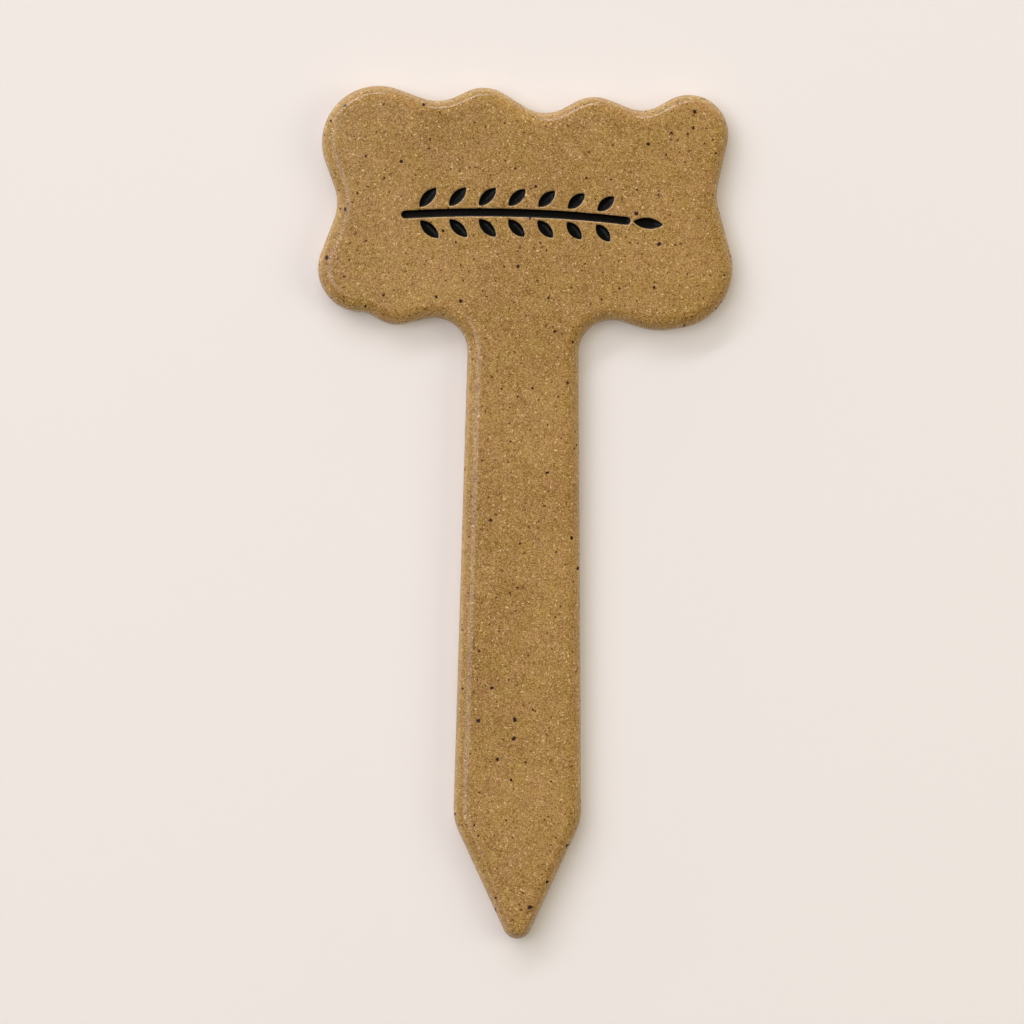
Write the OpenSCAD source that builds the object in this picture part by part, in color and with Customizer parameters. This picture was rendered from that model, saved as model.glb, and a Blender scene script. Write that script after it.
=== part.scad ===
// Ceramic garden stake: a plant marker cut from one slab of speckled stoneware.
// It lies on its bare back. +X is to its right, +Y towards the head, +Z out of the face.
// The origin is on the back, in the middle of the whole outline.

/* [Head] */
// Length of the stake, from the top of the head to the tip
stake_l = 140; // [115:1:180]
// Width of the head, across its widest lobes
head_w = 68.2; // [60:0.1:80]
// Height of the head, from its highest lobe to its lowest
head_h = 39.6; // [34:0.1:46]

/* [Blade] */
// Width of the blade just below the head
neck_w = 18.3; // [15:0.1:22]
// Width of the blade at its shoulders, where it is widest
blade_w = 21; // [18:0.1:26]
// How far the blade's middle line lies to the left of the head's
blade_shift = 0.2; // [0:0.1:1]
// Radius of the fillets between the blade and the head
neck_r = 5.5; // [4:0.1:7]
// How far those fillets bite up into the head's lower edge
neck_bite = 1.6; // [0.5:0.1:2.5]
// Length of the point, from the middle of the shoulders to the tip
point_l = 21.4; // [18:0.1:30]
// Radius of the shoulders
shoulder_r = 9; // [4:0.1:9]
// Radius of the tip
tip_r = 2.4; // [2:0.1:4]

/* [Slab] */
// Thickness over the glaze
slab_t = 5; // [4.5:0.1:8]
// Width of the rounding between the face and the sides
edge_w = 2.3; // [1.2:0.1:3]
// Width of that rounding round the tip
tip_edge_w = 1.2; // [0.8:0.1:1.6]
// Height of that rounding
edge_h = 2.3; // [1.4:0.1:3]
// Power of the rounding: 2 is an ellipse, and less is flatter with a tighter brow
edge_power = 2; // [1.3:0.1:2.4]
// Width of the sponged edge round the back
foot_w = 0.4; // [0.2:0.1:0.8]

/* [Glaze] */
// Thickness of the clear glaze on the face and the sides
glaze_t = 0.2; // [0.1:0.05:0.4]
// Height of the bare band that the glaze leaves above the back
bare_h = 0.7; // [0.5:0.1:1.2]

/* [Stamped sprig] */
// Length of the sprig
sprig_l = 43; // [36:0.5:48]
// How far its middle lies to the right of the head's
sprig_shift = 1; // [-3:0.1:3]
// How far its middle lies below the head's
sprig_drop = 1.3; // [-3:0.1:4]
// How far it leans clockwise, in degrees
sprig_lean = 0.9; // [-3:0.1:3]
// Width of the stem
stem_w = 1.3; // [0.9:0.1:1.6]
// How far the stem bows up in its middle
stem_bow = 0.8; // [0.4:0.1:2]
// Pairs of leaves
leaf_pairs = 7; // [3:1:7]
// Length of the pair nearest the stem's cut end
leaf_l = 4.1; // [2.5:0.1:4.4]
// Length of the last pair
last_leaf_l = 3.5; // [2.4:0.1:3.8]
// Width of a leaf
leaf_w = 1.8; // [1.2:0.1:2]
// Length of the leaf at the stem's tip
tip_leaf_l = 4.8; // [3:0.1:5.5]
// Angle between a leaf and the stem, in degrees
leaf_lean = 46; // [38:1:56]
// Clay left standing between a leaf and the stem
leaf_web = 0.5; // [0.4:0.1:0.8]
// Depth of the stamped grooves below the face
groove_d = 1; // [0.8:0.1:1.6]
// Depth of the black glaze's surface below the face
inlay_drop = 0.45; // [0.3:0.05:0.6]

/* [Hidden] */
// Longest chord along an arc of the outline
chord_l = 1.3;
// Steps in the rounding of the edge
edge_steps = 5;
// Overrun of the groove cutters above the face
over = 1;
$fa = 2;
$fs = 0.2;

// Pegs of the head's outline, from the right of the neck round to its left. The outline is
// a cord drawn round them. x and y are shares of the way from the head's middle to where
// the peg would touch its box, and the radius is a share of the head's size. Side 1 is a
// lobe, with the peg inside the outline, and side -1 a hollow, with the peg outside.
peg_shares = [
    [1.02, -1, 0.31, 1],
    [1, -0.97, 0.25, 1],
    [0.936, 0.09, 0.21, -1],
    [0.965, 0.935, 0.165, 1],
    [0.473, 0.862, 0.142, -1],
    [0.4, 0.895, 0.162, 1],
    [0.072, 0.842, 0.157, -1],
    [-0.258, 0.993, 0.157, 1],
    [-0.358, 0.915, 0.19, -1],
    [-0.984, 1, 0.235, 1],
    [-0.928, 0.015, 0.192, -1],
    [-1, -0.81, 0.18, 1],
    [-0.72, -0.895, 0.091, -1],
    [-0.742, -0.972, 0.147, 1],
];
// Height of the head for its width, as the pegs are laid out
squat_share = 0.58;
// Most of the room between two lobes that a hollow's radius may take
hollow_share = 0.99;

head_unit = min(head_w * squat_share, head_h);
head_y = (stake_l - head_h) / 2;
shoulder_y = point_l - stake_l / 2;
face_z = slab_t - glaze_t;
wall_top = slab_t - edge_h;

// A peg is [x, y, radius, side]
function at(peg) = [peg.x, peg.y];
function radius(peg) = peg[2];
function side(peg) = peg[3];
function gap(a, b) = norm(at(b) - at(a));

// A peg of the head at its real size
function head_peg(share) =
    let (r = share[2] * head_unit, inset = share[3] * r)
    [share.x * (head_w / 2 - inset), head_y + share.y * (head_h / 2 - inset), r, share[3]];

laid_pegs = [for (share = peg_shares) head_peg(share)];

// A hollow grows no wider than the room between the lobes beside it
function roomy_peg(i) =
    let (peg = laid_pegs[i])
    side(peg) > 0 ? peg :
    let (
        before = gap(laid_pegs[i - 1], peg) - radius(laid_pegs[i - 1]),
        after = gap(laid_pegs[i + 1], peg) - radius(laid_pegs[i + 1])
    )
    [peg.x, peg.y, min(radius(peg), hollow_share * before, hollow_share * after), side(peg)];

head_pegs = [for (i = [0 : len(laid_pegs) - 1]) roomy_peg(i)];

// A fillet peg beside the neck, at the height of the bite, or lower where it meets the lobe
function neck_peg(hand, lobe) =
    let (
        x = hand * (neck_w / 2 + neck_r) - blade_shift,
        reach = radius(lobe) + neck_r,
        run = reach ^ 2 - (lobe.x - x) ^ 2,
        bite_y = head_y - head_h / 2 + neck_bite - neck_r
    )
    [x, run > 0 ? min(bite_y, lobe.y - sqrt(run)) : bite_y, neck_r, -1];

function shoulder_peg(hand) =
    [hand * (blade_w / 2 - shoulder_r) - blade_shift, shoulder_y, shoulder_r, 1];

tip_peg = [0, tip_r - stake_l / 2, tip_r, 1];

pegs = concat(
    [neck_peg(1, head_pegs[0])],
    head_pegs,
    [neck_peg(-1, head_pegs[len(head_pegs) - 1]), shoulder_peg(-1), tip_peg, shoulder_peg(1)]
);

// Heading of the cord's straight run from one peg to the next, in degrees
function heading(a, b) =
    atan2(b.y - a.y, b.x - a.x) - asin((side(b) * radius(b) - side(a) * radius(a)) / gap(a, b));

// A turn in degrees, brought between -180 and 180
function turn(from, to) = let (t = (to - from) % 360) t > 180 ? t - 360 : t < -180 ? t + 360 : t;

// Places along the outline: [x, y, outward x, outward y, width of the rounding]
function arc_places(i) =
    let (
        peg = pegs[i],
        before = pegs[(i + len(pegs) - 1) % len(pegs)],
        after = pegs[(i + 1) % len(pegs)],
        start = heading(before, peg),
        swing = turn(start, heading(peg, after)),
        steps = max(1, ceil(radius(peg) * abs(swing) * PI / 180 / chord_l)),
        brow = peg == tip_peg ? tip_edge_w : edge_w
    )
    [for (k = [0 : steps])
        let (h = start + swing * k / steps, out = [sin(h), -cos(h)])
        let (p = at(peg) + side(peg) * radius(peg) * out)
        [p.x, p.y, out.x, out.y, brow]];

places = [for (i = [0 : len(pegs) - 1]) each arc_places(i)];
count = len(places);

// A ring of points round the outline. The inset is skin plus a share of what is left of the
// rounding's width there.
function ring(skin, share, z) =
    [for (p = places)
        let (inset = skin + share * (p[4] - skin))
        [p.x - p[2] * inset, p.y - p[3] * inset, z]];

// Rings up the wall from height z, then over the rounding to the face, skin below the glaze
function wall_rings(z, skin) = concat(
    [ring(skin, 0, z), ring(skin, 0, wall_top)],
    [for (k = [1 : edge_steps])
        let (a = 90 * k / edge_steps)
        ring(skin, 1 - cos(a) ^ (2 / edge_power), wall_top + (edge_h - skin) * sin(a) ^ (2 / edge_power))]
);

// The centre of a flat end, from which its triangles fan out
function hub(z) = [0, head_y, z];

// Triangles between neighbouring rings, the first ring's points at index first
function band_faces(first, bands) =
    [for (b = [0 : bands - 1], k = [0 : count - 1])
        let (
            a = first + b * count + k,
            c = first + b * count + (k + 1) % count
        )
        each [[a, a + count, c], [c, a + count, c + count]]];

// A fan from the hub to the ring at index first. Up is 1 where its outside is upwards.
function fan_faces(hub_index, first, up) =
    [for (k = [0 : count - 1])
        let (a = first + k, c = first + (k + 1) % count)
        up > 0 ? [hub_index, c, a] : [hub_index, a, c]];

// The clay as cut, sponged round its back and rounded over at its face
module clay_blank() {
    rings = concat(
        [[for (p = places) [p.x - p[2] * (glaze_t + foot_w), p.y - p[3] * (glaze_t + foot_w), 0]]],
        [ring(glaze_t, 0, foot_w)],
        wall_rings(bare_h, glaze_t)
    );
    rows = len(rings);
    points = concat([for (r = rings) each r], [hub(0), hub(face_z)]);
    polyhedron(points, concat(
        band_faces(0, rows - 1),
        fan_faces(rows * count, 0, -1),
        fan_faces(rows * count + 1, (rows - 1) * count, 1)
    ));
}

// The clear coat: the glazed surface outside, the clay's surface inside, and a lip between
module coat_blank() {
    outer = wall_rings(bare_h, 0);
    inner = wall_rings(bare_h, glaze_t);
    rows = len(outer);
    all_rings = concat([for (k = [rows - 1 : -1 : 0]) inner[k]], outer);
    points = concat([for (r = all_rings) each r], [hub(face_z), hub(slab_t)]);
    polyhedron(points, concat(
        band_faces(0, 2 * rows - 1),
        fan_faces(2 * rows * count, 0, -1),
        fan_faces(2 * rows * count + 1, (2 * rows - 1) * count, 1)
    ));
}

// The stem is an arc, its cut end on the left and the tip leaf past its right end
stem_left = (stem_w - sprig_l) / 2;
stem_right = sprig_l / 2 - tip_leaf_l - leaf_web - stem_w / 2;
stem_half = (stem_right - stem_left) / 2;
stem_mid = (stem_right + stem_left) / 2;
stem_r = (stem_half ^ 2 + stem_bow ^ 2) / (2 * stem_bow);

// Height of the stem's middle line at x, half the bow above the sprig's middle at most
function stem_y(x) = sqrt(stem_r ^ 2 - (x - stem_mid) ^ 2) - stem_r + stem_bow / 2;
function stem_heading(x) = -asin((x - stem_mid) / stem_r);

// Where along the stem a pair of leaves springs
leaf_pitch = (stem_right - stem_left) / (leaf_pairs + 1 / 2);
function leaf_x(pair) = stem_left + leaf_pitch * (pair + 1 / 2);
function leaf_size(pair) = leaf_l + (last_leaf_l - leaf_l) * pair / (leaf_pairs - 1);

// A leaf along +X from its foot, between two arcs
module leaf_shape(l) {
    r = (l ^ 2 + leaf_w ^ 2) / (4 * leaf_w);
    intersection() {
        translate([l / 2, r - leaf_w / 2]) circle(r);
        translate([l / 2, leaf_w / 2 - r]) circle(r);
    }
}

// Leaf number i, the odd ones above the stem and the even ones below
module side_leaf_shape(i) {
    pair = floor((i - 1) / 2);
    hand = i % 2 == 1 ? 1 : -1;
    x = leaf_x(pair);
    translate([x, stem_y(x)])
        rotate(stem_heading(x))
        translate([0, hand * (stem_w / 2 + leaf_web)])
        rotate(hand * leaf_lean)
        leaf_shape(leaf_size(pair));
}

module tip_leaf_shape() {
    translate([stem_right, stem_y(stem_right)])
        rotate(stem_heading(stem_right))
        translate([stem_w / 2 + leaf_web, 0])
        leaf_shape(tip_leaf_l);
}

module stem_shape() {
    intersection() {
        translate([stem_mid, stem_bow / 2 - stem_r]) difference() {
            circle(stem_r + stem_w / 2);
            circle(stem_r - stem_w / 2);
        }
        translate([stem_left, -stem_bow - stem_w]) square([stem_right - stem_left, 2 * (stem_bow + stem_w)]);
    }
    for (x = [stem_left, stem_right])
        translate([x, stem_y(x)]) circle(stem_w / 2);
}

// Puts what is drawn about the sprig's middle onto the head
module on_head(z) {
    translate([sprig_shift, head_y - sprig_drop, z]) rotate(-sprig_lean) children();
}

// The stamp's cutter, deep enough for the grooves
module stamp() {
    on_head(slab_t - groove_d) linear_extrude(groove_d + over) {
        stem_shape();
        for (i = [1 : 2 * leaf_pairs]) side_leaf_shape(i);
        tip_leaf_shape();
    }
}

// Black glaze that half fills a groove
module inlay() {
    color("#17130f") on_head(slab_t - groove_d) linear_extrude(groove_d - inlay_drop) children();
}

module clay_body() {
    color("#a37e4b") difference() {
        clay_blank();
        stamp();
    }
}

module clear_glaze() {
    color("#b08a55") difference() {
        coat_blank();
        stamp();
    }
}

module stem_inlay() {
    inlay() stem_shape();
}

module tip_leaf_inlay() {
    inlay() tip_leaf_shape();
}

module leaf_inlay(i) {
    inlay() side_leaf_shape(i);
}

function leaf_name(i) = str("leaf_inlay_", i);

clay_body();
clear_glaze();
stem_inlay();
tip_leaf_inlay();
for (i = [1 : 2 * leaf_pairs])
    leaf_inlay(i);
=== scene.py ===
import math

import bmesh
import bpy
import numpy as np
from mathutils import Matrix, Vector
from mathutils.geometry import delaunay_2d_cdt


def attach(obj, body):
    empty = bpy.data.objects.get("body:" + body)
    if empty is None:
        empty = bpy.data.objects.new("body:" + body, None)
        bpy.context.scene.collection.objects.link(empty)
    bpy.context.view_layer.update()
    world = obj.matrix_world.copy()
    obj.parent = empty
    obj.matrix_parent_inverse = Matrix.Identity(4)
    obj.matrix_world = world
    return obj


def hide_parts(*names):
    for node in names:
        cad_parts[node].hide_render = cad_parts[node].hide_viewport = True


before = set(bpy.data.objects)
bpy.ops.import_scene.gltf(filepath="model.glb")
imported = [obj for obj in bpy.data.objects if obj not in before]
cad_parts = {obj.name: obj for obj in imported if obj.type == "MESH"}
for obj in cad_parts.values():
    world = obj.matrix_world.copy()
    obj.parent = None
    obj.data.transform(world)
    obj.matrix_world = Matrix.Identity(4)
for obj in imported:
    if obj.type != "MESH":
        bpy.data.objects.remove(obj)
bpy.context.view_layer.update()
mm = 0.001  # lengths below are in millimetres until they go into a mesh, a light or the camera
print("frame loaded")


# The outline: a cord round pegs. The pegs' radii follow the head's height, or squatShare of its
# width where that is less.

slab = dict(
    length=140, headWidth=68.2, headHeight=39.6, neckWidth=18.3, bladeWidth=21, bladeShift=0.2,
    neckRadius=5.5, neckBite=1.6, pointLength=21.4, shoulderRadius=9, tipRadius=2.4,
    thickness=5, edgeWidth=2.3, tipEdgeWidth=1.2, edgeHeight=1.66,
    footWidth=0.4, glaze=0.2, bareHeight=0.7, squatShare=0.58,
)
slab["headY"] = (slab["length"] - slab["headHeight"]) / 2
slab["wallTop"] = slab["thickness"] - slab["edgeHeight"]

# The head's pegs, from the right of the neck round to its left: x and y as shares of the way
# from the head's middle to its box, radius as a share of the head's size, and the side of the
# cord that the peg is on, 1 inside a lobe and -1 outside a hollow
headPegs = np.array([
    [1.02, -1, 0.31, 1],
    [1, -0.97, 0.25, 1],
    [0.936, 0.09, 0.21, -1],
    [0.965, 0.935, 0.165, 1],
    [0.473, 0.862, 0.142, -1],
    [0.4, 0.895, 0.162, 1],
    [0.072, 0.842, 0.157, -1],
    [-0.258, 0.993, 0.157, 1],
    [-0.358, 0.915, 0.19, -1],
    [-0.984, 1, 0.235, 1],
    [-0.928, 0.015, 0.192, -1],
    [-1, -0.81, 0.18, 1],
    [-0.72, -0.895, 0.091, -1],
    [-0.742, -0.972, 0.147, 1],
])


def neckPeg(hand, lobe):
    # A fillet peg beside the neck, at the height of the bite, or lower where it meets the lobe
    x = hand * (slab["neckWidth"] / 2 + slab["neckRadius"]) - slab["bladeShift"]
    run = (lobe[2] + slab["neckRadius"]) ** 2 - (lobe[0] - x) ** 2
    bite = slab["headY"] - slab["headHeight"] / 2 + slab["neckBite"] - slab["neckRadius"]
    return [x, min(bite, lobe[1] - math.sqrt(run)) if run > 0 else bite, slab["neckRadius"], -1]


def layPegs():
    # Every peg as x, y, radius and side, and the width of the rounding beside each
    unit = min(slab["headWidth"] * slab["squatShare"], slab["headHeight"])
    radius, side = headPegs[:, 2] * unit, headPegs[:, 3]
    head = np.stack([
        headPegs[:, 0] * (slab["headWidth"] / 2 - side * radius),
        slab["headY"] + headPegs[:, 1] * (slab["headHeight"] / 2 - side * radius),
        radius, side], 1)
    shoulder = slab["bladeWidth"] / 2 - slab["shoulderRadius"]
    shoulderY = slab["pointLength"] - slab["length"] / 2
    tipY = slab["tipRadius"] - slab["length"] / 2
    blade = [
        [-shoulder - slab["bladeShift"], shoulderY, slab["shoulderRadius"], 1],
        [0, tipY, slab["tipRadius"], 1],
        [shoulder - slab["bladeShift"], shoulderY, slab["shoulderRadius"], 1],
    ]
    pegs = np.array([neckPeg(1, head[0]), *head, neckPeg(-1, head[-1]), *blade])
    brows = np.full(len(pegs), slab["edgeWidth"])
    brows[-2] = slab["tipEdgeWidth"]
    return pegs, brows


def layOutline(spacing):
    # The cord as rows of x, y, outward x, outward y and width of the rounding. On a peg a place is
    # the peg's centre plus its radius along the normal; between pegs it is on the common tangent,
    # which turns from the line of centres by the arcsine of the difference of the signed radii.
    pegs, brows = layPegs()
    after = np.roll(pegs, -1, 0)
    step = after[:, :2] - pegs[:, :2]
    lean = (after[:, 3] * after[:, 2] - pegs[:, 3] * pegs[:, 2]) / np.hypot(step[:, 0], step[:, 1])
    heading = np.arctan2(step[:, 1], step[:, 0]) - np.arcsin(np.clip(lean, -1, 1))
    arcs = []
    for i, (x, y, radius, side) in enumerate(pegs):
        start = heading[i - 1]
        swing = (heading[i] - start + math.pi) % (2 * math.pi) - math.pi
        turns = start + swing * np.linspace(0, 1, 2 + int(radius * abs(swing) / spacing))
        out = np.stack([np.sin(turns), -np.cos(turns)], 1)
        places = [x, y] + side * radius * out
        arcs.append(np.column_stack([places, out, np.full(len(turns), brows[i])]))
    rows = []
    for i, arc in enumerate(arcs):
        following = arcs[(i + 1) % len(arcs)][0]
        run = np.hypot(*(following[:2] - arc[-1, :2]))
        share = np.linspace(0, 1, 2 + int(run / (2 * spacing)))[1:-1, None]
        rows += [arc, arc[-1] * (1 - share) + following * share]
    return np.concatenate(rows)


# The stamped sprig: a stem and leaves, each a spine with a half width on both sides of it

sprig = dict(
    length=43, shift=1, drop=1.3, lean=math.radians(0.9), stemWidth=1.3, stemBow=0.8, pairs=7,
    leaf=4.1, lastLeaf=3.5, leafWidth=1.8, tipLeaf=4.8, leafLean=math.radians(46), web=0.5,
    grooveDepth=1, tipRound=0.16, leafSteps=44, stemSteps=200, capSteps=14,
)


def onHead(points):
    # Turns places about the sprig's middle onto the head
    c, s = math.cos(sprig["lean"]), math.sin(sprig["lean"])
    x, y = points[..., 0], points[..., 1]
    return np.stack([x * c + y * s + sprig["shift"],
                     y * c - x * s + slab["headY"] - sprig["drop"]], -1)


def leafSpine(foot, heading, length):
    # A lens between two arcs, with its ends rounded: the half width is that of the two arcs grown
    # by the rounding, and of a small circle at either end
    rounding, steps = sprig["tipRound"], sprig["leafSteps"]
    half, wide = length / 2 - rounding, sprig["leafWidth"] / 2 - rounding
    arc = (half ** 2 + wide ** 2) / (2 * wide)
    x = -(half + rounding) * np.cos(np.linspace(0, math.pi, steps))
    side = np.sqrt((arc + rounding) ** 2 - x ** 2) - (arc - wide)
    end = np.sqrt(np.maximum(rounding ** 2 - (np.abs(x) - half) ** 2, 0))
    width = np.where(np.abs(x) < half * (arc + rounding) / arc, side, end)
    width[[0, -1]] = 0
    along = np.array([math.cos(heading), math.sin(heading)])
    spine = foot + (x + length / 2)[:, None] * along
    return spine, np.tile([-along[1], along[0]], (steps, 1)), width


def layMarks():
    # Each mark's name with its spine, the spine's left-hand normals and its half widths
    left = (sprig["stemWidth"] - sprig["length"]) / 2
    right = sprig["length"] / 2 - sprig["tipLeaf"] - sprig["web"] - sprig["stemWidth"] / 2
    half, middle, bow = (right - left) / 2, (right + left) / 2, sprig["stemBow"]
    radius = (half ** 2 + bow ** 2) / (2 * bow)

    def stemAt(x):
        turn = np.arcsin((x - middle) / radius)
        return np.stack([x, radius * np.cos(turn) - radius + bow / 2], -1), -turn

    def normalAt(heading):
        return np.stack([-np.sin(heading), np.cos(heading)], -1)

    cap = sprig["stemWidth"] / 2
    reach = math.asin(half / radius)
    ends = cap * np.cos(np.linspace(math.pi, math.pi / 2, sprig["capSteps"])[:-1])
    turn = np.concatenate([ends / radius - reach, np.linspace(-reach, reach, sprig["stemSteps"]),
                           (reach - ends / radius)[::-1]])
    over = np.maximum(np.abs(turn) - reach, 0) * radius
    stem = np.stack([middle + radius * np.sin(turn), radius * np.cos(turn) - radius + bow / 2], -1)
    width = np.sqrt(np.maximum(cap ** 2 - over ** 2, 0))
    made = [("stem", "stem_inlay", stem, normalAt(-turn), width)]

    pitch = (right - left) / (sprig["pairs"] + 0.5)
    for i in range(2 * sprig["pairs"]):
        pair, hand = i // 2, 1 - 2 * (i % 2)
        place, heading = stemAt(left + pitch * (pair + 0.5))
        foot = place + hand * (cap + sprig["web"]) * normalAt(heading)
        length = sprig["leaf"] + (sprig["lastLeaf"] - sprig["leaf"]) * pair / (sprig["pairs"] - 1)
        leaf = leafSpine(foot, heading + hand * sprig["leafLean"], length)
        made.append((f"leaf_{i + 1}", f"leaf_inlay_{i + 1}", *leaf))
    place, heading = stemAt(right)
    foot = place + (cap + sprig["web"]) * np.array([math.cos(heading), math.sin(heading)])
    leaf = leafSpine(foot, float(heading), sprig["tipLeaf"])
    made.append(("tip_leaf", "tip_leaf_inlay", *leaf))
    return [(name, node, onHead(spine), onHead(spine + normal) - onHead(spine), width)
            for name, node, spine, normal, width in made]


def markLoop(mark, spacing):
    # The outline of one mark, counter-clockwise and evenly spaced, with its outward normals
    spine, normal, width = mark[2:]
    reach = normal * width[:, None]
    loop = np.concatenate([spine - reach, (spine + reach)[-2:0:-1]])
    closed = np.concatenate([loop, loop[:1]])
    gone = np.concatenate([[0], np.cumsum(np.hypot(*np.diff(closed, axis=0).T))])
    even = np.linspace(0, gone[-1], 1 + int(gone[-1] / spacing))[:-1]
    loop = np.stack([np.interp(even, gone, closed[:, k]) for k in (0, 1)], 1)
    return loop, facingOut(loop)


def facingOut(loop):
    # The outward normals of a closed counter-clockwise loop
    tangent = np.roll(loop, -1, 0) - np.roll(loop, 1, 0)
    tangent /= np.hypot(*tangent.T)[:, None]
    return np.stack([tangent[:, 1], -tangent[:, 0]], 1)


batch = 2000  # places compared at a time, to spare memory


def signedDistance(points, loops, normals):
    # Distance to the nearest place of some loops, below 0 inside them
    best = np.empty(len(points))
    for first in range(0, len(points), batch):
        away = points[first:first + batch, None] - loops[None]
        near = np.argmin((away ** 2).sum(2), 1)
        away = away[np.arange(len(near)), near]
        inside = (away * normals[near]).sum(1) < 0
        best[first:first + batch] = np.hypot(*away.T) * np.where(inside, -1, 1)
    return best


# The unevenness of hand work: slow waves that only ever take clay away. The marks wander where
# the height above the wall is past a share of the rounding, and fully a little above that.

handwork = dict(
    seed=11, waves=10, longest=32, shortest=9, sink=0.07,
    wander=0.035, wanderFrom=0.8, wanderOver=0.2, wanderPace=9,
)
rng = np.random.default_rng(handwork["seed"])
waveLength = np.geomspace(handwork["longest"], handwork["shortest"], handwork["waves"])
waveTurn = rng.uniform(0, 2 * math.pi, handwork["waves"])
waveStart = rng.uniform(0, 2 * math.pi, handwork["waves"])


def waves(x, y, quicker=1):
    # Sum of sines in many directions, each as high as it is long, from -1 to 1. Quicker ones are
    # that many times shorter.
    phase = np.multiply.outer(x, np.cos(waveTurn)) + np.multiply.outer(y, np.sin(waveTurn))
    high = waveLength / waveLength.sum()
    return (np.sin(phase * quicker * 2 * math.pi / waveLength + waveStart) * high).sum(-1)


def workByHand(points):
    # Sinks what is above the wall unevenly, and lets the stamped marks wander a little
    x, y, z = points.T
    above = np.clip((z - slab["wallTop"]) / slab["edgeHeight"], 0, 1)
    face = np.clip((above - handwork["wanderFrom"]) / handwork["wanderOver"], 0, 1)
    sink = handwork["sink"] * (0.5 + 0.5 * waves(x, y)) * above
    wander, pace = handwork["wander"], handwork["wanderPace"]
    return np.stack([x + wander * waves(x, y, pace) * face,
                     y + wander * waves(y, x, pace) * face, z - sink], 1)


# Meshes

meshing = dict(weld=0.002, smoothAngle=50, snap=1e-6)


def ringGrid(rings):
    # Faces between closed rings, each of the same number of points, outwards where the rings run
    # counter-clockwise and climb
    rows, count = rings.shape[:2]
    index = np.arange(rows * count).reshape(rows, count)
    following = np.roll(index, -1, 1)
    faces = np.stack([index[:-1], following[:-1], following[1:], index[1:]], -1)
    return rings.reshape(-1, 3), faces.reshape(-1, 4).tolist()


def makePiece(name, parts, material, nodes):
    # Joins parts, each its points in millimetres and its faces, welds them, and puts the piece in
    # the place of its CAD nodes
    points, faces, first = [], [], 0
    for places, made in parts:
        points.append(places)
        faces += [[first + k for k in face] for face in made]
        first += len(places)
    mesh = bpy.data.meshes.new(name)
    mesh.from_pydata((workByHand(np.concatenate(points)) * mm).tolist(), [], faces)
    work = bmesh.new()
    work.from_mesh(mesh)
    bmesh.ops.remove_doubles(work, verts=work.verts, dist=meshing["weld"] * mm)
    work.to_mesh(mesh)
    work.free()
    mesh.shade_smooth()
    mesh.set_sharp_from_angle(angle=math.radians(meshing["smoothAngle"]))
    mesh.materials.append(material)
    piece = bpy.data.objects.new(name, mesh)
    bpy.context.scene.collection.objects.link(piece)
    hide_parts(*nodes)
    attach(piece, "root")
    return piece


def withinLoops(points, loops):
    # Whether a line from each place towards +x crosses the loops an odd number of times
    x1, y1 = np.concatenate(loops).T
    x2, y2 = np.concatenate([np.roll(loop, -1, 0) for loop in loops]).T
    odd = np.empty(len(points), bool)
    for first in range(0, len(points), batch):
        x, y = points[first:first + batch, :, None].transpose(1, 0, 2)
        beside = (x2 - x1) * (y - y1) > (x - x1) * (y2 - y1)
        crossed = ((y1 > y) != (y2 > y)) & (beside == (y2 > y1))
        odd[first:first + batch] = crossed.sum(1) % 2 == 1
    return odd


def fillFace(border, loops, points):
    # Triangles, counter-clockwise, inside the border and outside the loops in it. Everything is
    # rounded first, as the triangulation does, so that the thinnest triangle falls on its own side.
    border, *loops, points = [part.astype(np.float32).astype(float)
                              for part in (border, *loops, points)]
    flat = np.concatenate([border, *loops, points])
    lines, first = [], 0
    for loop in [border, *loops]:
        index = first + np.arange(len(loop))
        lines += np.stack([index, np.roll(index, -1)], 1).tolist()
        first += len(loop)
    vectors = [Vector(place) for place in flat.tolist()]
    found = delaunay_2d_cdt(vectors, lines, [], 0, meshing["snap"], False)
    flat, faces = np.array([tuple(place) for place in found[0]]), np.array(found[2])
    return flat, faces[withinLoops(flat[faces].mean(1), [border, *loops])]


def tiltedSection(tilts, steps=2000):
    # A section drawn by its tilt: small steps of equal length, each at its tilt, are summed into x
    # and the drop z. Both are for a width of 1.
    share = (np.arange(steps) + 0.5) / steps
    tilt = np.radians(np.interp(share, *tilts.T))
    x = np.concatenate([[0], np.cumsum(np.cos(tilt))])
    z = np.concatenate([[0], np.cumsum(np.sin(tilt))])
    return x / x[-1], z / x[-1]


def hexGrid(spacing):
    # Places on a grid of even triangles over the whole stake
    rows = int(slab["length"] / (spacing * math.sin(math.pi / 3)))
    columns = int(slab["headWidth"] / spacing)
    row, column = np.meshgrid(np.arange(rows), np.arange(columns), indexing="ij")
    x = (column + 0.5 * (row % 2)) * spacing - slab["headWidth"] / 2
    y = row * spacing * math.sin(math.pi / 3) - slab["length"] / 2
    return np.stack([x.ravel(), y.ravel()], 1)


# A lip sinks round each mark: its tilt in degrees at shares of its length, from the face inwards.
# Rings of places follow the mark at these distances, the outer ones sparser.
lip = dict(
    width=0.22, rings=(0.03, 0.06, 0.09, 0.12, 0.155, 0.19, 0.23, 0.3, 0.42, 0.65, 0.95),
    sparseFrom=0.4, apart=0.93,
)
lipTilt = np.array([[0, 0], [0.1, 27], [0.45, 30], [0.7, 56], [1, 74]])
lipX, lipZ = (lip["width"] * part for part in tiltedSection(lipTilt))
lip["drop"] = lipZ[-1]


def lipDip(distance):
    # How far the face has sunk at a distance from the edge of a mark
    return np.interp(lip["width"] - distance, lipX, lipZ)


# Two rows of places run beside the brow, the second with half as many, and the grid keeps clear
faceLay = dict(near=0.25, far=0.7, clear=1.1)


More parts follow.
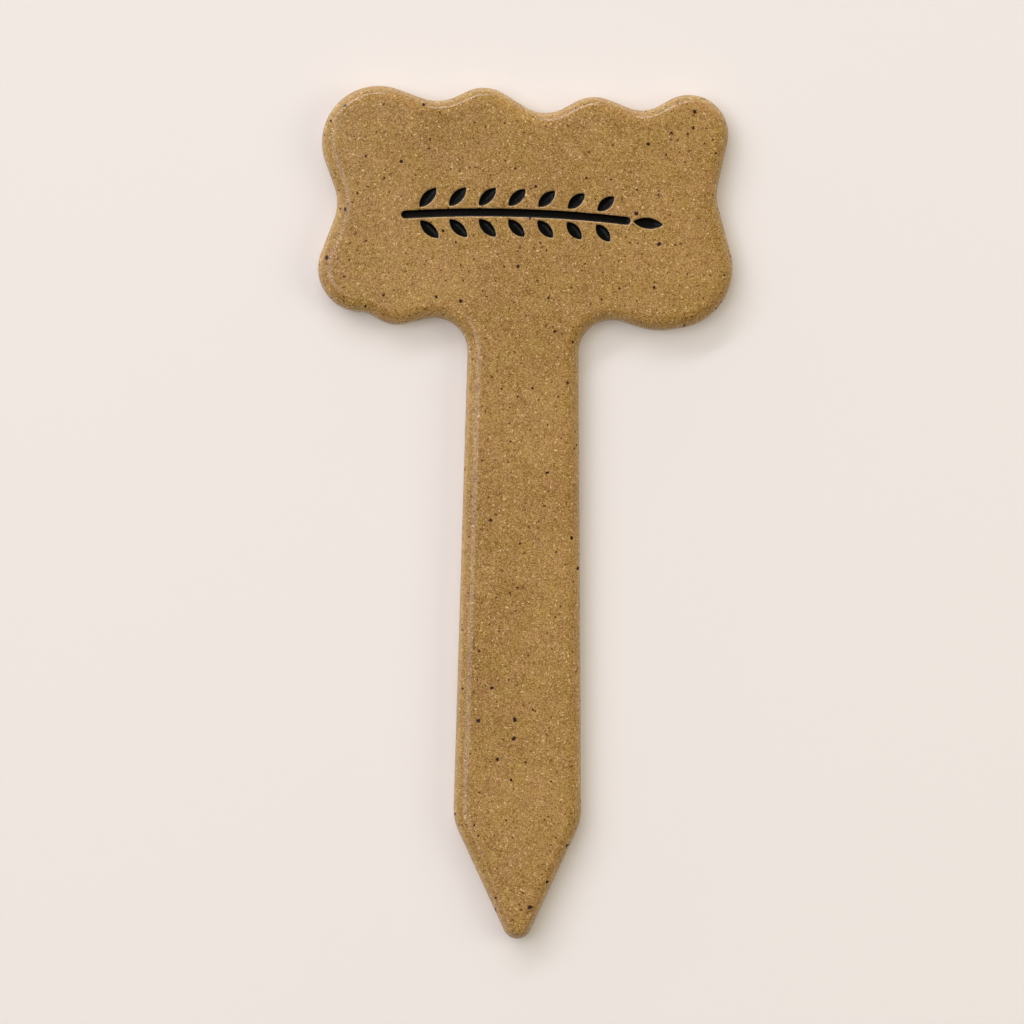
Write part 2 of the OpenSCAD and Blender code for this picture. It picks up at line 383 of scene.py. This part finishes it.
def layFace(outline, loops, normals, spacing, below):
    # The face's places and triangles, from the brow to the lips of the marks, so far below the top
    out, clear = outline[:, 2:4], faceLay["clear"]
    border = outline[:, :2] - out * outline[:, 4:]
    allLoops, allNormals = np.concatenate(loops), np.concatenate(normals)
    extra = [border - out * faceLay["near"], (border - out * faceLay["far"])[::2]]
    grid = hexGrid(spacing)
    grid = grid[signedDistance(grid, border, out) < -clear]
    extra.append(grid[signedDistance(grid, allLoops, allNormals) > clear])
    for distance in lip["rings"]:
        step = 1 if distance < lip["sparseFrom"] else 2
        places = (allLoops + allNormals * distance)[::step]
        away = signedDistance(places, allLoops, allNormals)
        extra.append(places[away > lip["apart"] * distance])
    flat, faces = fillFace(border, loops, np.concatenate(extra))
    distance = np.maximum(signedDistance(flat, allLoops, allNormals), 0)
    top = slab["thickness"] - below - lipDip(distance)
    return np.column_stack([flat, top]), faces


def walls(loops, tops, bottom):
    # The vertical wall under each loop, facing into the mark
    parts = []
    for loop in loops:
        rings = np.stack([np.column_stack([loop, np.full(len(loop), z)]) for z in (tops, bottom)])
        parts.append(ringGrid(rings))
    return parts


# The rounding's tilt in degrees at shares of its length, from the face to the wall: a tight brow,
# a soft bevel and a round rim
edgeTilt = np.array([
    [0, 0], [0.066, 10], [0.2, 15], [0.27, 21], [0.342, 26.5], [0.38, 28.5], [0.436, 30.5],
    [0.494, 33.5], [0.575, 37.5], [0.66, 41], [0.75, 44.5], [0.8, 51], [1, 90],
])


def browSection(steps):
    # The rounding's x and z at its rings. They keep an even pace in a quarter of the square of the
    # share, plus half the share, plus 1/180 of the tilt, so that they are closer where it turns.
    x, z = tiltedSection(edgeTilt)
    share = np.linspace(0, 1, len(x))
    pace = share / 4 * (share + 2) + np.interp(share, *edgeTilt.T) / 180
    wanted = np.linspace(0, pace[-1], steps)
    return np.interp(wanted, pace, x), np.interp(wanted, pace, z / z[-1])


def brow(outline, below, steps):
    # Rings over the rounding, from the wall's top to the face, so far below the outer surface
    x, z = (part[::-1, None] for part in browSection(steps))
    inset = below + (1 - x) * (outline[:, 4] - below)
    flat = outline[:, :2] - outline[:, 2:4] * inset[..., None]
    high = slab["thickness"] - below - (slab["edgeHeight"] - below) * z
    return np.concatenate([flat, np.broadcast_to(high[..., None], flat.shape[:2] + (1,))], 2)


def ring(outline, inset, z):
    # One ring inside the outline. The inset and the height may change along it.
    flat = outline[:, :2] - outline[:, 2:4] * np.broadcast_to(inset, len(outline))[:, None]
    return np.column_stack([flat, np.broadcast_to(z, len(outline))])


def flipped(part):
    # The same part with its faces turned round
    return part[0], [face[::-1] for face in part[1]]


# Materials

class Value:
    # A socket on which Python's operators add Math nodes
    def __init__(self, shader, socket):
        self.shader, self.socket = shader, socket

    def math(self, operation, *values, clamp=False):
        inputs = dict(enumerate(values))
        return self.shader.node("Math", dict(operation=operation, use_clamp=clamp), inputs)

    def __add__(self, other):
        return self.math("ADD", self, other)

    def __sub__(self, other):
        return self.math("SUBTRACT", self, other)

    def __mul__(self, other):
        return self.math("MULTIPLY", self, other)

    def __truediv__(self, other):
        return self.math("DIVIDE", self, other)

    def __rsub__(self, other):
        return self.math("SUBTRACT", other, self)

    def __gt__(self, other):
        return self.math("GREATER_THAN", self, other)

    def __pow__(self, other):
        return self.math("POWER", self, other)

    def clamped(self):
        return self.math("ADD", self, 0, clamp=True)

    __radd__, __rmul__ = __add__, __mul__


class Shader:
    # The nodes of a material or of the world
    def __init__(self, owner):
        owner.use_nodes = True
        self.owner, self.tree = owner, owner.node_tree
        self.tree.nodes.clear()

    def node(self, kind, settings=None, inputs=None, output=0):
        # Adds any node: its type, its settings, and the values or links of its inputs
        made = self.tree.nodes.new("ShaderNode" + kind)
        for key, value in (settings or {}).items():
            setattr(made, key, value)
        for key, value in (inputs or {}).items():
            if isinstance(value, Value):
                self.tree.links.new(value.socket, made.inputs[key])
            else:
                made.inputs[key].default_value = value
        return Value(self, made.outputs[output]) if made.outputs else None

    def mix(self, factor, first, second, blend="MIX"):
        # A colour between two, or one blended over the other
        return self.node("Mix", dict(data_type="RGBA", blend_type=blend, clamp_factor=True),
                         {0: factor, 6: first, 7: second}, 2)

    def scaled(self, vector, scale):
        return self.node("VectorMath", dict(operation="SCALE"), {0: vector, "Scale": scale})

    def vectors(self, operation, first, second, output=0):
        # Vector Math between two vectors. A dot product comes out of the second output.
        return self.node("VectorMath", dict(operation=operation), {0: first, 1: second}, output)

    def places(self):
        # Object coordinates in millimetres
        return self.scaled(self.node("TexCoord", output="Object"), 1 / mm)

    def noise(self, where, size, detail=2, roughness=0.5):
        # Cloudy noise from 0 to 1, with blobs of about the given size
        return self.node("TexNoise", None, dict(
            Vector=where, Scale=1 / size, Detail=detail, Roughness=roughness))

    def cells(self, where, spacing):
        # One point in each cell: the distance to the nearest, as a share of the spacing, and two
        # random numbers that belong to it
        made = self.node("TexVoronoi", None, dict(Vector=where, Scale=1 / spacing))
        both = made.socket.node
        split = self.node("SeparateColor", None, dict(Color=Value(self, both.outputs["Color"])))
        other = Value(self, split.socket.node.outputs[1])
        return Value(self, both.outputs["Distance"]), split, other

    def grains(self, where, spacing, radius, share, soft, least=0.45):
        # Scattered grains: 1 inside one and 0 outside. A share of the cells holds one, of up to the
        # radius. Each grain is a ball in the clay, so that the surface cuts discs of every size.
        distance, luck, size = self.cells(where, spacing)
        reach = (radius / spacing) * (least + (1 - least) * size)
        inside = ((reach - distance) / (soft / spacing)).clamped()
        return inside * (luck > 1 - share)

    def finish(self, colour, roughness, height, depth, ior):
        # A Principled surface, with bumps of the given height up to a depth in millimetres
        bump = self.node("Bump", None, dict(Strength=1, Distance=depth * mm, Height=height))
        surface = self.node("BsdfPrincipled", None, {
            "Base Color": colour, "Roughness": roughness, "Normal": bump, "IOR": ior})
        self.node("OutputMaterial", None, dict(Surface=surface))
        return self.owner


def srgb(red, green, blue):
    # A colour as a screen shows it, made linear by the sRGB curve
    parts = [k / 255 for k in (red, green, blue)]
    return tuple(k / 12.92 if k <= 0.04045 else ((k + 0.055) / 1.055) ** 2.4 for k in parts) + (1,)


# The clay's colours, and the strength and size of what varies them: slow drift and patches, sand
# and lumps in its grain, and golden blotches. A wobble bends the outlines of its grains.
clay = dict(
    dark=srgb(113, 71, 3), light=srgb(195, 150, 97), gold=(0.965, 1.055, 0.72, 1),
    cream=srgb(226, 194, 142), brown=srgb(94, 49, 2), umber=srgb(76, 27, 0), iron=srgb(50, 15, 0),
    # breakAndSheen is the pale colour where the glaze breaks thin over edges; it also serves as
    # painted sheen on the outer edge and as a painted highlight on the lips of the marks
    breakAndSheen=srgb(240, 220, 190),
    drift=0.32, driftSize=14, patches=1.1, patchSize=2.2, sand=0.8, sandSize=0.16,
    lumps=0.62, lumpSize=0.3, blotches=2.4, blotchSize=3, wobble=0.5, wobbleSize=0.35, veil=0.85,
)
bareClay = dict(
    clay, dark=srgb(140, 104, 60), light=srgb(216, 184, 144), cream=srgb(226, 204, 170),
)

# Cream flecks, drawn out across or along the stake, brown dots, and small and large iron specks
draw = dict(across=(0.65, 1.7, 1), along=(1.7, 0.65, 1))
grit = dict(
    across=dict(spacing=0.55, radius=0.17, share=0.5, soft=0.06),
    along=dict(spacing=0.6, radius=0.17, share=0.5, soft=0.06),
    dots=dict(spacing=1, radius=0.24, share=0.65, soft=0.06),
    small=dict(spacing=1.5, radius=0.25, share=0.7, soft=0.05),
    specks=dict(spacing=2.8, radius=0.42, share=0.8, soft=0.06),
)


def clayColour(shader, where, tones, breakAndSheenShare=0):
    # The colour of speckled stoneware, and a mask of its specks. Where the pale glaze break and the
    # painted sheen and highlight mixed with it show, only the ground and the flecks change.
    wobble = shader.node("TexNoise", None, dict(
        Vector=where, Scale=1 / tones["wobbleSize"], Detail=1), "Color")
    bent = shader.vectors("ADD", where, shader.scaled(wobble, tones["wobble"]))
    patches = (shader.noise(where, tones["patchSize"], 3) - 0.5) * tones["patches"]
    drift = shader.noise(where, tones["driftSize"], 1) - 0.5 + patches
    _, sand, _ = shader.cells(where, tones["sandSize"])
    lumps = (shader.noise(where, tones["lumpSize"], 2, 0.7) - 0.5) * tones["lumps"]
    tone = 0.5 + (sand - 0.5) * tones["sand"] + lumps + drift * tones["drift"]
    base = shader.mix(tone.clamped(), tones["dark"], tones["light"])
    gold = (shader.noise(where, tones["blotchSize"], 4, 0.62) - 0.5) * tones["blotches"] + 0.5
    base = shader.mix(gold.clamped(), base, tones["gold"], "MULTIPLY")
    flecks, others = (shader.grains(shader.vectors("MULTIPLY", bent, draw[way]), **grit[way])
                      for way in ("across", "along"))
    flecks = flecks.math("MAXIMUM", flecks, others)
    dots, small, specks = (shader.grains(bent, **grit[kind])
                           for kind in ("dots", "small", "specks"))
    base = shader.mix(flecks * tones["veil"], base, tones["cream"])
    # Mixes in the pale glaze break, which is partly painted sheen and a painted highlight
    base = shader.mix(breakAndSheenShare, base, tones["breakAndSheen"])
    base = shader.mix(dots * tones["veil"], base, tones["brown"])
    base = shader.mix(small, base, tones["umber"])
    return shader.mix(specks, base, tones["iron"]), specks.math("MAXIMUM", specks, small)


# Roughness goes from rough to rough plus more, and lengths are in millimetres
glossy = dict(peelSize=1.6, depth=0.012, rough=0.14, more=0.08, roughSize=4, ior=1.42)


def glazedStoneware():
    shader = Shader(bpy.data.materials.new("glazed_stoneware"))
    where = shader.places()
    # Per point: the share of pale glaze break, partly painted sheen and a painted highlight
    breakAndSheen = shader.node("Attribute", dict(attribute_name="breakAndSheen"), output="Fac")
    colour, _ = clayColour(shader, where, clay, breakAndSheen)
    peel = shader.noise(where, glossy["peelSize"])
    roughness = glossy["rough"] + glossy["more"] * shader.noise(where, glossy["roughSize"])
    return shader.finish(colour, roughness, peel, glossy["depth"], glossy["ior"])


matte = dict(
    grain=0.6, grainSize=0.4, drag=0.6, dragSize=2.5, specks=0.3, depth=0.08,
    rough=0.82, more=0.12, roughSize=0.8, ior=1.45,
)


def bareStoneware():
    shader = Shader(bpy.data.materials.new("bare_stoneware"))
    where = shader.places()
    colour, specks = clayColour(shader, where, bareClay)
    grain = shader.noise(where, matte["grainSize"], 3, 0.6)
    drag = shader.noise(where, matte["dragSize"])
    height = grain * matte["grain"] + drag * matte["drag"] + specks * matte["specks"]
    roughness = matte["rough"] + matte["more"] * shader.noise(where, matte["roughSize"])
    return shader.finish(colour, roughness, height, matte["depth"], matte["ior"])


jet = dict(
    dark=srgb(3, 2, 1), light=srgb(9, 7, 4), toneSize=0.6, peelSize=0.5, depth=0.03,
    rough=0.08, more=0.1, ior=1.19,
)


def blackGlaze():
    shader = Shader(bpy.data.materials.new("black_glaze"))
    where = shader.places()
    tone = shader.noise(where, jet["toneSize"])
    colour = shader.mix(tone, jet["dark"], jet["light"])
    peel = shader.noise(where, jet["peelSize"])
    return shader.finish(colour, jet["rough"] + jet["more"] * tone, peel, jet["depth"], jet["ior"])


glazed, bare, black = glazedStoneware(), bareStoneware(), blackGlaze()
print("materials made")


# The clear glaze: a skin over the face and the wall, down to a wavering line above the back

marks = layMarks()
skinCuts = dict(
    outline=0.55, loop=0.14, grid=1.3, brow=26, wavering=0.13, waveringPace=2,
    bead=0.3, beadSteps=6, wallSteps=4,
)


def markLoops(spacing):
    # The outlines of all the marks, and their normals
    return zip(*[markLoop(mark, spacing) for mark in marks])


def makeSkin():
    # Rings climb from the glaze line, over the bead that it ends in, up the wall and the rounding.
    # The same face, one coat lower, is its underside.
    outline = layOutline(skinCuts["outline"])
    loops, normals = markLoops(skinCuts["loop"])
    face, faces = layFace(outline, loops, normals, skinCuts["grid"], 0)
    under = face - [0, 0, slab["glaze"]]
    wavering = 0.5 + 0.5 * waves(outline[:, 0], outline[:, 1], skinCuts["waveringPace"])
    line = slab["bareHeight"] + skinCuts["wavering"] * wavering
    bead = [ring(outline, slab["glaze"] * (1 - math.sin(turn)),
                 line + skinCuts["bead"] * (1 - math.cos(turn)))
            for turn in np.linspace(0, math.pi / 2, skinCuts["beadSteps"])]
    low, steps = line + skinCuts["bead"], skinCuts["wallSteps"]
    wall = [ring(outline, 0, low + (slab["wallTop"] - low) * k / steps) for k in range(1, steps)]
    outer = np.concatenate([bead, wall, brow(outline, 0, skinCuts["brow"])])
    hidden = np.concatenate([[ring(outline, slab["glaze"], line)],
                             brow(outline, slab["glaze"], skinCuts["brow"])])
    parts = [ringGrid(outer), flipped(ringGrid(hidden)),
             (face, faces.tolist()), flipped((under, faces.tolist()))]
    top = slab["thickness"] - lip["drop"]
    parts += walls(loops, top, top - slab["glaze"])
    return makePiece("clear_glaze_skin", parts, glazed, ["clear_glaze"])


# How pale the clay shows where the glaze thins out: on the lips of the marks and at the outer edge.
# This is partly the glaze's real break and partly painted light: a painted highlight on the lips
# and painted sheen on the outer edge.
breakAndSheenLevels = dict(lip=0.1, lipFade=0.085, edge=0.15, edgeReach=1.5, faceDepth=0.7)


def markBreakAndSheen(piece):
    # The pale break and painted sheen at the outer rim fade over its reach by a smooth step, and
    # the pale break and painted highlight of a lip over its last stretch. Only what is near the
    # face has lips.
    loops, normals = markLoops(skinCuts["loop"])
    outline = layOutline(skinCuts["outline"])
    mesh = piece.data
    places = np.empty(3 * len(mesh.vertices))
    mesh.vertices.foreach_get("co", places)
    places = places.reshape(-1, 3) / mm
    inset = -signedDistance(places[:, :2], outline[:, :2], outline[:, 2:4])
    share = np.clip(1 - inset / breakAndSheenLevels["edgeReach"], 0, 1)
    breakAndSheenShare = breakAndSheenLevels["edge"] * share * share * (3 - 2 * share)
    onFace = places[:, 2] > slab["thickness"] - breakAndSheenLevels["faceDepth"]
    away = signedDistance(places[onFace, :2], np.concatenate(loops), np.concatenate(normals))
    share = np.clip((lip["width"] - away) / breakAndSheenLevels["lipFade"], 0, 1)
    breakAndSheenShare[onFace] = np.maximum(breakAndSheenShare[onFace], breakAndSheenLevels["lip"] * share)
    mesh.attributes.new("breakAndSheen", "FLOAT", "POINT").data.foreach_set("value", breakAndSheenShare)


skin = makeSkin()
markBreakAndSheen(skin)
print("glaze:", len(skin.data.polygons), "faces")


# The clay under it, bare on the back and round the foot

clayCuts = dict(
    outline=0.7, loop=0.2, grid=1.6, brow=14, seat=0.01, footSteps=7,
    bandHeight=0.55, tuckBelow=0.05, tuckAbove=0.2,
    backGrid=1.2, backClear=0.6, hollow=0.06, hollowReach=3, hollowPace=1.4,
)


def makeClay():
    # Rings climb round the foot and up a bare band, tuck in under the glaze at its line, and follow
    # it to the face. The back is hollowed a little, away from its border.
    outline = layOutline(clayCuts["outline"])
    skinBelow = slab["glaze"] + clayCuts["seat"]
    loops, normals = markLoops(clayCuts["loop"])
    top, faces = layFace(outline, loops, normals, clayCuts["grid"], skinBelow)
    foot = [ring(outline, slab["glaze"] + slab["footWidth"] * (1 - math.sin(turn)),
                 slab["footWidth"] * (1 - math.cos(turn)))
            for turn in np.linspace(0, math.pi / 2, clayCuts["footSteps"])]
    band = [ring(outline, slab["glaze"], clayCuts["bandHeight"]),
            ring(outline, slab["glaze"], slab["bareHeight"] - clayCuts["tuckBelow"]),
            ring(outline, skinBelow, slab["bareHeight"] + clayCuts["tuckAbove"])]
    rings = np.concatenate([foot, band, brow(outline, skinBelow, clayCuts["brow"])])
    border, out = foot[0][:, :2], outline[:, 2:4]
    grid = hexGrid(clayCuts["backGrid"])
    grid = grid[signedDistance(grid, border, out) < -clayCuts["backClear"]]
    flat, under = fillFace(border, [], grid)
    away = np.clip(-signedDistance(flat, border, out) / clayCuts["hollowReach"], 0, 1)
    uneven = 0.5 + 0.5 * waves(flat[:, 1], flat[:, 0], clayCuts["hollowPace"])
    back = np.column_stack([flat, clayCuts["hollow"] * uneven * away])
    parts = [ringGrid(rings), (top, faces.tolist()), flipped((back, under.tolist()))]
    edge = slab["thickness"] - skinBelow - lip["drop"]
    floor = slab["thickness"] - sprig["grooveDepth"]
    parts += walls(loops, edge, floor)
    for loop in loops:
        flat, under = fillFace(loop, [], np.zeros((0, 2)))
        parts.append((np.column_stack([flat, np.full(len(flat), floor)]), under.tolist()))
    return makePiece("clay_slab", parts, bare, ["clay_body"])


slabPiece = makeClay()
print("clay:", len(slabPiece.data.polygons), "faces")


# The black glaze in the grooves, drawn up at the walls and dished between them

inlay = dict(
    edge=0.29, dish=0.22, deepest=1.15, power=2.5, across=15, overlap=0.012, floorGap=0.01,
)


def makeInlay(mark):
    # Two parameters: along the spine and round the section, which is the dished top and a flat
    # underside. The dish is 1 less a power of the place across, deeper where the groove is wide.
    name, node, spine, normal, width = mark
    across = np.sin(np.linspace(-1, 1, inlay["across"]) * math.pi / 2)
    around = np.concatenate([across, [1, -1]])
    wide = width + inlay["overlap"] * (width > 0)
    flat = spine[:, None] + normal[:, None] * (wide[:, None] * around)[..., None]
    deep = inlay["dish"] * np.clip(width / (sprig["stemWidth"] / 2), 0, inlay["deepest"])
    top = slab["thickness"] - inlay["edge"] - deep[:, None] * (1 - np.abs(across) ** inlay["power"])
    floor = slab["thickness"] - sprig["grooveDepth"] + inlay["floorGap"]
    under = np.full((len(spine), 2), floor)
    section = np.concatenate([flat, np.concatenate([top, under], 1)[..., None]], 2)
    return makePiece("black_" + name, [flipped(ringGrid(section))], black, [node])


for mark in marks:
    makeInlay(mark)
print("inlays:", len(marks))


# The stage, the lights and the camera

studio = dict(
    floor=srgb(238, 230, 227), glow=srgb(240, 225, 200), floorSize=12, floorGlow=0.15,
    boost=1.004, daylight=(0.975, 1, 1.13), roomLight=(1.03, 1, 0.83), boxDistance=1.9,
    softboxes=[
        dict(name="key", azimuth=109, elevation=57, width=2.05, height=1.8, share=0.15,
             glare=False),
        dict(name="low_box", azimuth=146, elevation=38, width=2.1, height=0.76, share=0.07),
        dict(name="strip", azimuth=118, elevation=34.5, width=2.2, height=0.25, share=0.2),
        dict(name="left_strip", azimuth=176, elevation=66.5, width=0.95, height=1.3, share=0.225),
        dict(name="fill", azimuth=2, elevation=36, width=1.2, height=1.05, share=0.165,
             glare=False, room=True),
    ],
)
room = dict(
    azimuth=117, elevation=45, power=3, share=0.3, directions=4000,
    wall=3.4, wallTop=0.24, wallAzimuth=122, wallSpread=0.7,
)


def makeFloor():
    # White paper. A little of what the camera sees of it is a warm colour of its own, which the
    # shadow doesn't reach.
    far = studio["floorSize"] / 2
    corners = [(-far, -far, 0), (far, -far, 0), (far, far, 0), (-far, far, 0)]
    mesh = bpy.data.meshes.new("floor")
    mesh.from_pydata(corners, [], [(0, 1, 2, 3)])
    shader = Shader(bpy.data.materials.new("floor"))
    glow = shader.node("Emission", None, dict(Color=studio["glow"], Strength=1))
    paper = shader.node("BsdfDiffuse", None, dict(Color=studio["floor"]))
    seen = shader.node("LightPath", output="Is Camera Ray")
    both = shader.node("MixShader", None, {0: seen * studio["floorGlow"], 1: paper, 2: glow})
    shader.node("OutputMaterial", None, dict(Surface=both))
    mesh.materials.append(shader.owner)
    floor = bpy.data.objects.new("floor", mesh)
    bpy.context.scene.collection.objects.link(floor)


def towards(azimuth, elevation):
    # The direction to a lamp, from its angles in degrees
    azimuth, elevation = math.radians(azimuth), math.radians(elevation)
    return np.array([math.cos(elevation) * math.cos(azimuth),
                     math.cos(elevation) * math.sin(azimuth), math.sin(elevation)])


def makeLights():
    # Each box looks at the middle of the floor and lights it with its share of a plain white
    # level. The key and the fill are polarised, so they leave no glare in the glaze, and the other
    # boxes give the highlights. The fill has the room's warm light, and the others have daylight.
    distance = studio["boxDistance"]
    for box in studio["softboxes"]:
        place = distance * towards(box["azimuth"], box["elevation"])
        lamp = bpy.data.lights.new(box["name"], "AREA")
        lamp.shape, lamp.size, lamp.size_y = "RECTANGLE", box["width"], box["height"]
        level = studio["boost"] * box["share"]
        lamp.energy = level * (math.pi * distance) ** 2 * distance / place[2]
        lamp.color = studio["roomLight" if box.get("room") else "daylight"]
        stand = bpy.data.objects.new(box["name"], lamp)
        stand.visible_glossy = box.get("glare", True)
        look = (-Vector(place)).to_track_quat("-Z", "Y").to_matrix().to_4x4()
        stand.matrix_world = Matrix.Translation(place) @ look
        bpy.context.scene.collection.objects.link(stand)


def makeWorld():
    # A room that is brightest on the window's side and above, and dark behind: half of one plus the
    # cosine from its brightest direction, to a power. How high that goes for its share of the light
    # is found from an even spread of directions over the floor, on a spiral by the golden angle.
    # Low on the window's side is a pale wall, which fades upwards and to its sides.
    middle = towards(room["azimuth"], room["elevation"])
    steps = np.arange(room["directions"])
    up = (steps + 0.5) / len(steps)
    turn = steps * math.pi * (3 - math.sqrt(5))
    flat = np.sqrt(1 - up ** 2)
    spread = np.stack([flat * np.cos(turn), flat * np.sin(turn), up], 1)
    high = room["share"] / (2 * ((0.5 + 0.5 * spread @ middle) ** room["power"] * up).mean())
    shader = Shader(bpy.data.worlds.new("studio"))
    look = shader.node("TexCoord", output="Generated")
    lean = shader.vectors("DOT_PRODUCT", look, tuple(middle), 1)
    side = shader.vectors("DOT_PRODUCT", look, tuple(towards(room["wallAzimuth"], 0)), 1)
    rise = shader.node("SeparateXYZ", None, dict(Vector=look), 2)
    sideways = 1 - room["wallSpread"] + room["wallSpread"] * side
    wall = (1 - rise / room["wallTop"]).clamped() * sideways.clamped() * (rise > 0)
    strength = studio["boost"] * (high * (0.5 + 0.5 * lean) ** room["power"] + room["wall"] * wall)
    background = shader.node("Background", None, dict(
        Color=(*studio["roomLight"], 1), Strength=strength))
    shader.node("OutputWorld", None, dict(Surface=background))
    bpy.context.scene.world = shader.owner


camera = dict(
    aim=(-1.69, 0.18, 2.9), frame=168.5, distance=1.4, roll=math.radians(0.71),
    sensor=36, near=0.05, far=20,
)


def makeCamera():
    # Looks straight down on its aim, from where the frame's width fills the view
    eye = bpy.data.cameras.new("camera")
    eye.sensor_width = camera["sensor"]
    eye.lens = camera["sensor"] * camera["distance"] / (camera["frame"] * mm)
    eye.clip_start, eye.clip_end = camera["near"], camera["far"]
    made = bpy.data.objects.new("camera", eye)
    x, y, z = (part * mm for part in camera["aim"])
    place = Matrix.Translation((x, y, z + camera["distance"]))
    made.matrix_world = place @ Matrix.Rotation(camera["roll"], 4, "Z")
    bpy.context.scene.collection.objects.link(made)
    bpy.context.scene.camera = made


makeFloor()
makeLights()
makeWorld()
makeCamera()
bpy.context.scene.view_settings.view_transform = "Standard"
print("stage, lights and camera made")
